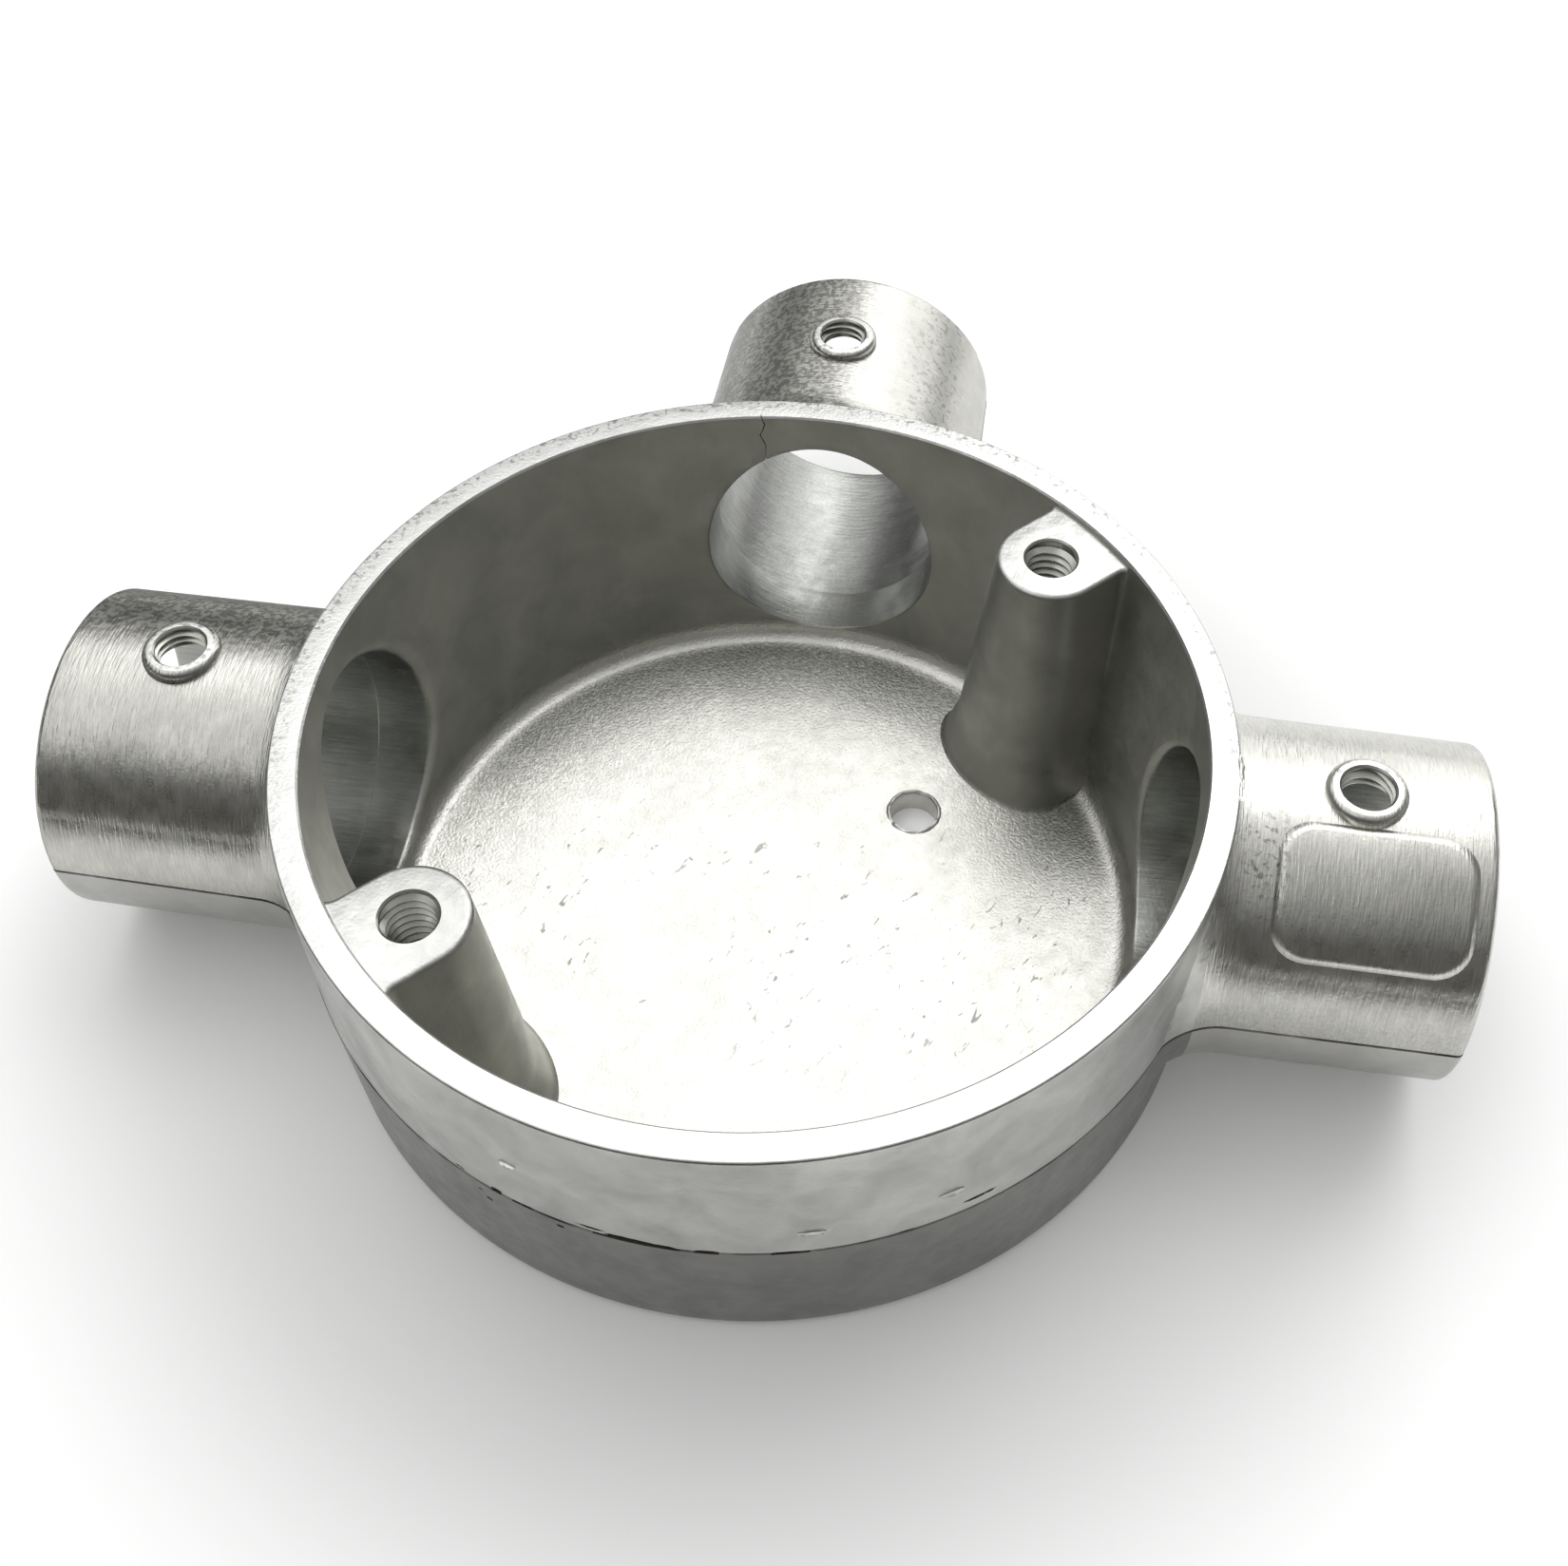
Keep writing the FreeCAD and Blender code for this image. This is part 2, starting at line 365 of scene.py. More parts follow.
half_length, half_width = panel_length / 2, panel_width / 2
panel = draw_profile("panel", [
    (0, -half_width, 0),
    (half_length, -half_width, panel_corner),
    (half_length, half_width, panel_corner),
    (-half_length, half_width, panel_corner),
    (-half_length, -half_width, panel_corner),
    (-half_length / 2, -half_width, 0),
], arc_points=10)
lay_flat()
bpy.ops.transform.translate(value=(0, 0, panel_raise))
bpy.ops.mesh.extrude_region_move(
    TRANSFORM_OT_translate={"value": (0, 0, -panel_raise - panel_sink)}
)
bpy.ops.transform.resize(
    value=(1 + panel_flare / half_length, 1 + panel_flare / half_width, 1),
    center_override=(0, 0, 0),
)
select_points(panel.data, lambda place: place.z > panel_raise - touching)
bpy.ops.mesh.bevel(offset=panel_edge_round, segments=4, affect="EDGES", clamp_overlap=False)
bpy.ops.mesh.select_all(action="SELECT")
bpy.ops.mesh.normals_make_consistent(inside=False)
strip_count = int(panel_width / panel_strip)
for strip in range(1, strip_count):
    bpy.ops.mesh.select_all(action="SELECT")
    bpy.ops.mesh.bisect(
        plane_co=(0, -half_width + panel_width * strip / strip_count, 0), plane_no=(0, 1, 0),
        threshold=cut_threshold,
    )
bpy.ops.object.mode_set(mode="OBJECT")
for vert in panel.data.vertices:
    x = panel_middle_x + vert.co.x
    widening = (root_radius - mouth_radius) * (spout_reach - x) / (spout_reach - flare_corner_x)
    barrel = mouth_radius + widening
    around = panel_tilt - vert.co.y / barrel
    reach = barrel + vert.co.z
    vert.co = (x, -reach * math.sin(around), axis_height + reach * math.cos(around))
combine(casting, panel, "UNION")

# Conduit sockets
# Each spout is bored for plain conduit up to a stop, with a narrower throat on into the box.
# The mouth's inner edge is rounded, and the throat's edge on the inner wall is slightly broken.
socket_stop = 31.0
throat_radius = 8.85
throat_run_out = 0.08
mouth_round = 0.45
stop_edge_round = 0.12
throat_edge_rounds = (0.5, 0.15, 0.85)
throat_edge_low = 0.5
throat_edge_front = 0.4
throat_arc_points = 6
throat_arc_end = math.radians(75)
just_short = 0.01


def inner_wall_x(y, z):
    """Where the drafted inner wall, with its round at the floor, lies along a spout's axis."""
    wall = inner_floor_radius + (z - floor_height) * core_draft
    rise = z - floor_height
    if 0 <= rise < floor_round * (1 - math.sin(core_lean)):
        wall = inner_floor_radius - floor_round * (1 / math.cos(core_lean) - core_draft)
        wall += math.sqrt(floor_round ** 2 - (floor_round - rise) ** 2)
    return math.sqrt(wall ** 2 - y ** 2)


for angle, edge_round in zip(spout_angles, throat_edge_rounds):
    arc = []
    for step in range(throat_arc_points + 1):
        lean = throat_arc_end * (1 - step / throat_arc_points)
        arc.append((
            inner_floor_radius + edge_round * (1 - math.sin(lean)),
            throat_radius + edge_round * (1 - math.cos(lean)), 0,
        ))
    run_out_x = inner_floor_radius - throat_run_out
    run_out_radius = arc[0][1] + (arc[0][0] - run_out_x) * math.tan(throat_arc_end)
    bore = draw_profile("bore", [
        (run_out_x, 0, 0),
        (run_out_x, run_out_radius, 0),
        *arc,
        (socket_stop, throat_radius, stop_edge_round),
        (socket_stop, socket_radius, stop_edge_round),
        (spout_reach + hidden_under_face, socket_radius, mouth_round),
        (spout_reach + hidden_under_face, socket_radius + mouth_round, 0),
        (spout_reach + clear_of_part, socket_radius + mouth_round, 0),
        (spout_reach + clear_of_part, 0, 0),
    ])
    divide_lines(
        bore, row_height,
        lambda a, b: min(a.x, b.x) > socket_stop and abs(a.x - b.x) > row_height,
    )
    front_side = -math.cos(math.radians(angle))
    spin_closed(bore, (1, 0, 0), steps=barrel_steps)
    bore.data.transform(Matrix.Translation((0, 0, axis_height)))
    for vert in bore.data.vertices:
        if vert.co.x < inner_floor_radius + (1 + just_short) * edge_round:
            out = Vector((vert.co.y, vert.co.z - axis_height))
            if out.length > throat_radius - just_short:
                rounding = 1 + (1 - throat_edge_low) * min(0, out.y / out.length)
                rounding *= 1 - (1 - throat_edge_front) * max(0, front_side * out.x / out.length)
                out *= (throat_radius + (out.length - throat_radius) * rounding) / out.length
                vert.co.x = inner_floor_radius + (vert.co.x - inner_floor_radius) * rounding
            vert.co.y, vert.co.z = out.x, axis_height + out.y
            vert.co.x += inner_wall_x(vert.co.y, vert.co.z) - inner_floor_radius
    combine(casting, turned_copy(bore, angle), "DIFFERENCE")
    bpy.data.objects.remove(bore)

# Drilled holes
# Five tapped holes, two blind ones in the bosses and one through each ring.
# A plain hole goes through the floor, and the drill leaves a short chamfer at each mouth.
thread_radius = mounts["lid_screws"]["dims"]["hole_r_mm"]
lid_hole_depth = 15.0
hole_chamfer = 0.16
lip_depth = 0.22
lid_lip_radius = 1.8
set_lip_radius = 1.68
hole_steps = 72
fixing_x, fixing_y = [value * MM_PER_M for value in mounts["fixing_hole"]["pos_m"][:2]]
fixing_radius = mounts["fixing_hole"]["dims"]["r_mm"]
fixing_lip = 0.01


def drill(name, radius, lip_radius, bottom, top, x):
    """Drill with a narrower lip and a chamfer at its top, standing at x on the right-hand side."""
    tool = draw_profile(name, [
        (0, bottom, 0),
        (radius, bottom, 0),
        (radius, top - lip_depth - (radius - lip_radius) / 2, 0),
        (lip_radius, top - lip_depth, 0),
        (lip_radius, top - hole_chamfer, hole_chamfer),
        (lip_radius + hole_chamfer, top, 0),
        (lip_radius + hole_chamfer, top + clear_of_part, 0),
        (0, top + clear_of_part, 0),
    ])
    bpy.ops.mesh.select_all(action="SELECT")
    bpy.ops.transform.translate(value=(x, 0, 0))
    return spin_closed(tool, (0, 0, 1), center=(x, 0, 0), steps=hole_steps)


lid_drill = drill(
    "lid_drill", thread_radius, lid_lip_radius,
    boss_top - lid_hole_depth, boss_top, lid_screw_place,
)
for angle in lid_screw_angles:
    combine(casting, turned_copy(lid_drill, angle), "DIFFERENCE")
bpy.data.objects.remove(lid_drill)
set_drill = drill(
    "set_drill", thread_radius, set_lip_radius,
    axis_height + throat_radius / 2, ring_top, set_screw_place,
)
for angle in spout_angles:
    combine(casting, turned_copy(set_drill, angle), "DIFFERENCE")
bpy.data.objects.remove(set_drill)
fixing_drill = drill(
    "fixing_drill", fixing_radius, fixing_radius - fixing_lip,
    -clear_of_part, floor_height, math.hypot(fixing_x, fixing_y),
)
fixing_angle = math.degrees(math.atan2(fixing_y, fixing_x))
combine(casting, turned_copy(fixing_drill, fixing_angle), "DIFFERENCE")
bpy.data.objects.remove(fixing_drill)

# Screw threads
# M4 threads tapped in the five holes: a ridge winds down each wall and fades out at its ends.
# Each ridge is a thin skin whose edges lie just inside the hole's wall.
lid_thread_pitch = 0.7
set_thread_pitch = 0.56
thread_depth = 0.38
thread_sink = 0.04
thread_root = thread_radius + thread_sink
crest_start, crest_end, ridge_end = 0.42, 0.55, 0.97
ridge_points = 4
thread_steps = 40
fade_steps = 8
lid_thread_turns = 12
set_thread_turns = 2.3


def wind_thread(name, x, top, turns, pitch):
    """Ridge of a thread in a hole at x on the right-hand side, ended above the conduit's bore."""
    bottom = top - (turns + 1) * pitch
    ridge = draw_profile(name, [
        (thread_root, bottom, 0),
        (thread_radius - thread_depth, bottom + crest_start * pitch, 0),
        (thread_radius - thread_depth, bottom + crest_end * pitch, 0),
        (thread_root, bottom + ridge_end * pitch, 0),
    ])
    bpy.ops.object.mode_set(mode="OBJECT")
    show_only(ridge)
    winding = ridge.modifiers.new("winding", "SCREW")
    winding.axis = "Z"
    winding.angle = 2 * math.pi * turns
    winding.screw_offset = pitch * turns
    winding.steps = winding.render_steps = round(thread_steps * turns)
    winding.use_normal_calculate = True
    bpy.ops.object.modifier_apply(modifier=winding.name)
    last_step = len(ridge.data.vertices) // ridge_points - 1
    for number, vert in enumerate(ridge.data.vertices):
        step = number // ridge_points
        height = min(1, step / fade_steps, (last_step - step) / fade_steps)
        flat = Vector((vert.co.x, vert.co.y))
        wanted = thread_root + (flat.length - thread_root) * height
        vert.co.x *= wanted / flat.length
        vert.co.y *= wanted / flat.length
        if x == set_screw_place:
            bore_top = axis_height + math.sqrt(socket_radius ** 2 - vert.co.y ** 2)
            vert.co.z = max(vert.co.z, bore_top + hidden_under_face)
    ridge.data.transform(Matrix.Translation((x, 0, 0)))
    return ridge


threads = []
lid_thread = wind_thread(
    "lid_thread", lid_screw_place, boss_top - lip_depth, lid_thread_turns, lid_thread_pitch,
)
set_thread = wind_thread(
    "set_thread", set_screw_place, ring_top - lip_depth, set_thread_turns, set_thread_pitch,
)
for model, angles in ((lid_thread, lid_screw_angles), (set_thread, spout_angles)):
    for angle in angles:
        thread = turned_copy(model, angle)
        thread.name = thread.data.name = f"{model.name}_{angle}"
        threads.append(thread)
    bpy.data.objects.remove(model)

# Casting marks
# Flash broken off along the parting line left pits and a gouge in the front wall.
# A few nicks stand up above it, a blow scarred the rim at the right-hand spout,
# and a hairline crack runs above the middle throat.
# Pits and nicks are angle, rise above the parting line, length, height and depth.
dirty_pits = [
    (-94.4, 0.30, 3.3, 0.44, 0.30),
    (-91.0, 0.24, 2.2, 0.30, 0.22),
    (-98.6, 0.55, 2.0, 0.28, 0.16),
    (-102.4, -0.70, 0.55, 0.32, 0.20),
    (-106.3, 0.10, 1.7, 0.24, 0.16),
    (-110.3, 0.30, 0.8, 0.34, 0.22),
    (-111.9, -1.90, 0.5, 0.36, 0.22),
    (-112.9, -1.10, 0.35, 0.26, 0.16),
    (-115.5, 0.40, 0.9, 0.24, 0.15),
    (-85.6, 0.20, 1.5, 0.28, 0.18),
    (-77.0, 0.16, 1.8, 0.18, 0.14),
    (-64.0, 0.18, 1.3, 0.18, 0.14),
    (-55.2, 1.20, 2.4, 0.34, 0.16),
    (-25.0, 2.40, 0.6, 0.40, 0.20),
]
raised_nicks = [
    (-74.3, 2.56, 1.7, 0.08, 0.20),
    (-58.8, 3.34, 1.6, 0.09, 0.23),
    (-107.6, 5.05, 1.2, 0.09, 0.21),
]
nick_tilt = math.radians(12)
# Scars are angle, length, height and depth, and the crack's points angle and height.
rim_scars = [(1.6, 2.6, 0.42, 0.22), (-2.2, 1.9, 0.30, 0.16)]
crack_line = [(99.42, 23.6), (98.76, 22.75), (99.51, 21.82), (98.70, 20.89), (98.76, 19.4)]
crack_width = 0.09
crack_depth = 0.30
pit_roughness = 0.25
pit_grain_across, pit_grain_along = 2, 4


def outer_wall_radius(z):
    """Radius of the drafted outer wall at a height."""
    if z > axis_height:
        upper_radius = parting_radius - mould_step
        lean = (rim_radius - upper_radius) * (z - axis_height) / (rim_height - axis_height)
        return upper_radius + lean
    return base_radius + (parting_radius - base_radius) * z / axis_height


def mark_wall(angle_deg, radius, z, length, height, depth, operation="DIFFERENCE", tilt=0.0):
    """Cuts a ragged oval hollow into a round wall, or raises a sliver on it that tilts outwards."""
    bpy.ops.object.select_all(action="DESELECT")
    bpy.ops.mesh.primitive_ico_sphere_add(subdivisions=3, radius=1)
    tool = bpy.context.object
    for vert in tool.data.vertices:
        ragged = noise.noise(Vector((
            vert.co.x * pit_grain_across, vert.co.y * pit_grain_along,
            vert.co.z * pit_grain_across + angle_deg + z,
        )))
        vert.co *= 1 + pit_roughness * ragged
    tool.data.transform(
        Matrix.Rotation(math.radians(angle_deg), 4, "Z") @ Matrix.Translation((radius, 0, z))
        @ Matrix.Rotation(tilt, 4, "Y") @ Matrix.Diagonal((depth, length / 2, height / 2, 1))
    )
    combine(casting, tool, operation)


for angle, rise, length, height, depth in dirty_pits:
    z = axis_height + rise
    mark_wall(angle, outer_wall_radius(z), z, length, height, depth)
for angle, rise, length, height, depth in raised_nicks:
    z = axis_height + rise
    mark_wall(angle, outer_wall_radius(z), z, length, height, depth, "UNION", nick_tilt)
for angle, length, height, depth in rim_scars:
    mark_wall(angle, rim_radius, rim_height, length, height, depth)

crack_side = math.degrees(crack_width / 2 / inner_rim_radius)
crack = draw_profile("crack", [(angle - crack_side, z, 0) for angle, z in crack_line]
                     + [(angle + crack_side, z, 0) for angle, z in reversed(crack_line)])
bpy.ops.mesh.select_all(action="SELECT")
bpy.ops.mesh.edge_face_add()
bpy.ops.mesh.extrude_region_move(TRANSFORM_OT_translate={"value": (0, 1, 0)})
bpy.ops.mesh.select_all(action="SELECT")
bpy.ops.mesh.quads_convert_to_tris()
bpy.ops.object.mode_set(mode="OBJECT")
for vert in crack.data.vertices:
    wall = inner_floor_radius + (vert.co.z - floor_height) * core_draft
    radius = wall + (crack_depth if vert.co.y > 0.5 else -crack_depth)
    turn = math.radians(vert.co.x)
    vert.co = (radius * math.cos(turn), radius * math.sin(turn), vert.co.z)
show_only(crack)
bpy.ops.object.mode_set(mode="EDIT")
bpy.ops.mesh.select_all(action="SELECT")
bpy.ops.mesh.normals_make_consistent(inside=False)
bpy.ops.object.mode_set(mode="OBJECT")
combine(casting, crack, "DIFFERENCE")

# Burr at the fixing hole
# The drill pushed up a thin ragged lip of metal round the hole in the floor.
burr_foot = 0.34
burr_rise = 0.16
burr_sink = 0.06
burr_overlap = 0.02
burr_crest, burr_crest_height = 0.12, 0.9
burr_waves, burr_seed = 2.2, 4.0
fine_waves, fine_seed = 7, 9.0
burr_mean, burr_swing, fine_swing = 0.75, 1.1, 0.4
burr_least, burr_most = 0.15, 1.2
burr_wander = 0.02
burr = draw_profile("fixing_hole_burr", [
    (fixing_radius - burr_overlap, floor_height - hole_chamfer - burr_sink, 0),
    (fixing_radius + burr_overlap, floor_height + burr_rise, 0.02),
    (fixing_radius + burr_crest, floor_height + burr_rise * burr_crest_height, 0.03),
    (fixing_radius + burr_foot, floor_height - burr_sink, 0),
    (fixing_radius - burr_overlap, floor_height - hole_chamfer - burr_sink, 0),
], arc_points=2)
spin_closed(burr, (0, 0, 1), steps=hole_steps)
for vert in burr.data.vertices:
    turn = math.atan2(vert.co.y, vert.co.x)
    way_x, way_y = math.cos(turn), math.sin(turn)
    ragged = noise.noise(Vector((burr_waves * way_x, burr_waves * way_y, burr_seed)))
    fine_ragged = noise.noise(Vector((fine_waves * way_x, fine_waves * way_y, fine_seed)))
    above = vert.co.z - floor_height
    if above > 0:
        share = burr_mean + burr_swing * ragged + fine_swing * fine_ragged
        vert.co.z = floor_height + above * min(burr_most, max(burr_least, share))
        spread = 1 + burr_wander * fine_ragged
        vert.co.x *= spread
        vert.co.y *= spread
burr.data.transform(Matrix.Translation((fixing_x, fixing_y, 0)))

# Finished casting
# The whole box is one aluminium casting: a satin skin with fine grain, a ground rim, and bored sockets.
# Its mesh is brought to metres, and each face gets the finish of the place where it lies.
# Several finishes below are lighter or darker copies of the skin, painted light and shade.
metal_colour = (0.66, 0.655, 0.61)
stain_shade = 0.84
mark_shade = 0.25
noise_span = (0.3, 0.7)
fleck_lean = math.radians(-25)
fleck_stretch = 2.6
dish_radius = 0.025
dish_middle = (0.004, -0.012, 0)
smooth_angle = math.radians(32)


def add_node(tree, kind, inputs=None, **settings):
    """Adds a shader node, sets its options, and links or sets its inputs."""
    made = tree.nodes.new(kind)
    for name, value in settings.items():
        setattr(made, name, value)
    for name, value in (inputs or {}).items():
        if isinstance(value, bpy.types.NodeSocket):
            tree.links.new(value, made.inputs[name])
        else:
            made.inputs[name].default_value = value
    return made


def noise_value(tree, vector, scale, detail=2.0, distortion=0.0):
    """Even noise from 0 to 1; the scale is in cells to the metre."""
    return add_node(
        tree, "ShaderNodeTexNoise",
        {"Vector": vector, "Scale": scale, "Detail": detail, "Distortion": distortion},
    ).outputs["Fac"]


def in_range(tree, value, low, high, low_to=0.0, high_to=1.0, smooth=False):
    """Carries a value from one range to another."""
    return add_node(
        tree, "ShaderNodeMapRange",
        {"Value": value, "From Min": low, "From Max": high, "To Min": low_to, "To Max": high_to},
        interpolation_type="SMOOTHSTEP" if smooth else "LINEAR",
    ).outputs["Result"]


def calculate(tree, operation, first, second):
    return add_node(tree, "ShaderNodeMath", {0: first, 1: second}, operation=operation).outputs[0]


def start_group(name, outputs):
    """Group that takes a place on the part and gives values that change over it."""
    group = bpy.data.node_groups.new(name, "ShaderNodeTree")
    group.interface.new_socket("Place", in_out="INPUT", socket_type="NodeSocketVector")
    for output in outputs:
        group.interface.new_socket(output, in_out="OUTPUT", socket_type="NodeSocketFloat")
    place = group.nodes.new("NodeGroupInput").outputs["Place"]
    return group, place, group.nodes.new("NodeGroupOutput")


cast_grain, place, given = start_group(
    "cast_grain", ("Fine", "Peel", "Stain", "Speck", "Mottle", "Fleck"),
)
stain = noise_value(cast_grain, place, scale=220.0, detail=5.0, distortion=0.6)
speck = noise_value(cast_grain, place, scale=2300.0, detail=3.0, distortion=0.4)
mottle = noise_value(cast_grain, place, scale=2500.0, detail=4.0, distortion=0.4)
fleck_place = add_node(
    cast_grain, "ShaderNodeMapping",
    {"Vector": place, "Rotation": (0, 0, fleck_lean), "Scale": (1, fleck_stretch, 1)},
    vector_type="TEXTURE",
).outputs[0]
fleck = noise_value(cast_grain, fleck_place, scale=1800.0, detail=3.0, distortion=0.9)
fleck = in_range(cast_grain, fleck, 0.645, 0.685)
cluster = in_range(cast_grain, noise_value(cast_grain, place, scale=160.0, detail=1.0), 0.42, 0.52)
for name, value in (
    ("Fine", noise_value(cast_grain, place, scale=4600.0, detail=3.0)),
    ("Peel", noise_value(cast_grain, place, scale=950.0, detail=2.0)),
    ("Stain", in_range(cast_grain, stain, *noise_span)),
    ("Speck", in_range(cast_grain, speck, 0.53, 0.64)),
    ("Mottle", in_range(cast_grain, mottle, 0.46, 0.54)),
    ("Fleck", calculate(cast_grain, "MULTIPLY", fleck, cluster)),
):
    cast_grain.links.new(value, given.inputs[name])

hairlines, place, given = start_group("hairlines", ("Lines",))
lines = in_range(hairlines, noise_value(hairlines, place, scale=1.0, detail=1.5), *noise_span)
hairlines.links.new(lines, given.inputs["Lines"])


def shade_over(tree, amount, under, over):
    """Mixes one colour over another by an amount that changes over the surface."""
    return add_node(
        tree, "ShaderNodeMix", {"Factor": amount, 6: under, 7: over}, data_type="RGBA",
    ).outputs[2]


def metal(
    name, colour, dark, roughness, bumps, stretch=None, line_depth=0.0, line_shade=0.0,
    marks=(), dish=0.0, edge_tint=1.0,
):
    """Metal finish: a colour that stains towards a darker one, a range of roughness, and bump depths in mm.

    The stretch makes hairlines across it, and a dish bends the shading as if it sank towards its middle.
    The edge tint dulls it where it is seen along its face.
    Marks are dark specks, mottles or flecks, or painted shade laid over a band, each as a name, an amount
    and the ranges (axis, start, end) over which they grow from none to all; axis R is the distance from the
    box's axis."""
    material = bpy.data.materials.new(name)
    material.use_nodes = True
    tree = material.node_tree
    shader = tree.nodes["Principled BSDF"]
    place = add_node(tree, "ShaderNodeTexCoord").outputs["Object"]
    grain = add_node(tree, "ShaderNodeGroup", node_tree=cast_grain)
    tree.links.new(place, grain.inputs["Place"])
    grain = grain.outputs
    shadow = (*[mark_shade * part for part in colour], 1)
    shade = shade_over(tree, grain["Stain"], (*dark, 1), (*colour, 1))
    heights = [(grain["Stain"], bumps[2]), (grain["Peel"], bumps[1]), (grain["Fine"], bumps[0])]
    if stretch:
        across = add_node(tree, "ShaderNodeMapping", {"Vector": place, "Scale": stretch}).outputs[0]
        streak = add_node(tree, "ShaderNodeGroup", node_tree=hairlines)
        tree.links.new(across, streak.inputs["Place"])
        heights.append((streak.outputs["Lines"], line_depth))
        line_cover = calculate(tree, "MULTIPLY", streak.outputs["Lines"], line_shade)
        shade = shade_over(tree, line_cover, shade, shadow)
    along = add_node(tree, "ShaderNodeSeparateXYZ", {"Vector": place}).outputs
    level = add_node(
        tree, "ShaderNodeVectorMath", {0: place, 1: (1, 1, 0)}, operation="MULTIPLY",
    ).outputs[0]
    radius = add_node(tree, "ShaderNodeVectorMath", {0: level}, operation="LENGTH").outputs["Value"]
    for mark, amount, *ranges in marks:
        cover = calculate(tree, "MULTIPLY", grain[mark], amount)
        for axis, start, end in ranges:
            place_along = radius if axis == "R" else along[axis]
            cover = calculate(tree, "MULTIPLY", cover, in_range(tree, place_along, start, end))
        shade = shade_over(tree, cover, shade, shadow)
    if dish:
        apart = add_node(
            tree, "ShaderNodeVectorMath", {0: level, 1: dish_middle}, operation="DISTANCE",
        ).outputs["Value"]
        share = calculate(tree, "DIVIDE", apart, dish_radius)
        heights.append((calculate(tree, "POWER", share, 2.0), dish))
    tree.links.new(shade, shader.inputs["Base Color"])
    shader.inputs["Metallic"].default_value = 1.0
    shader.inputs["Specular Tint"].default_value = (edge_tint, edge_tint, edge_tint, 1)
    rough = in_range(tree, grain["Peel"], *noise_span, *roughness)
    tree.links.new(rough, shader.inputs["Roughness"])
    normal = None
    for height, depth in heights:
        if depth:
            bump = add_node(
                tree, "ShaderNodeBump", {"Height": height, "Strength": 1.0, "Distance": depth / MM_PER_M},
            )
            if normal:
                tree.links.new(normal, bump.inputs["Normal"])
            normal = bump.outputs["Normal"]
    tree.links.new(normal, shader.inputs["Normal"])
    return material


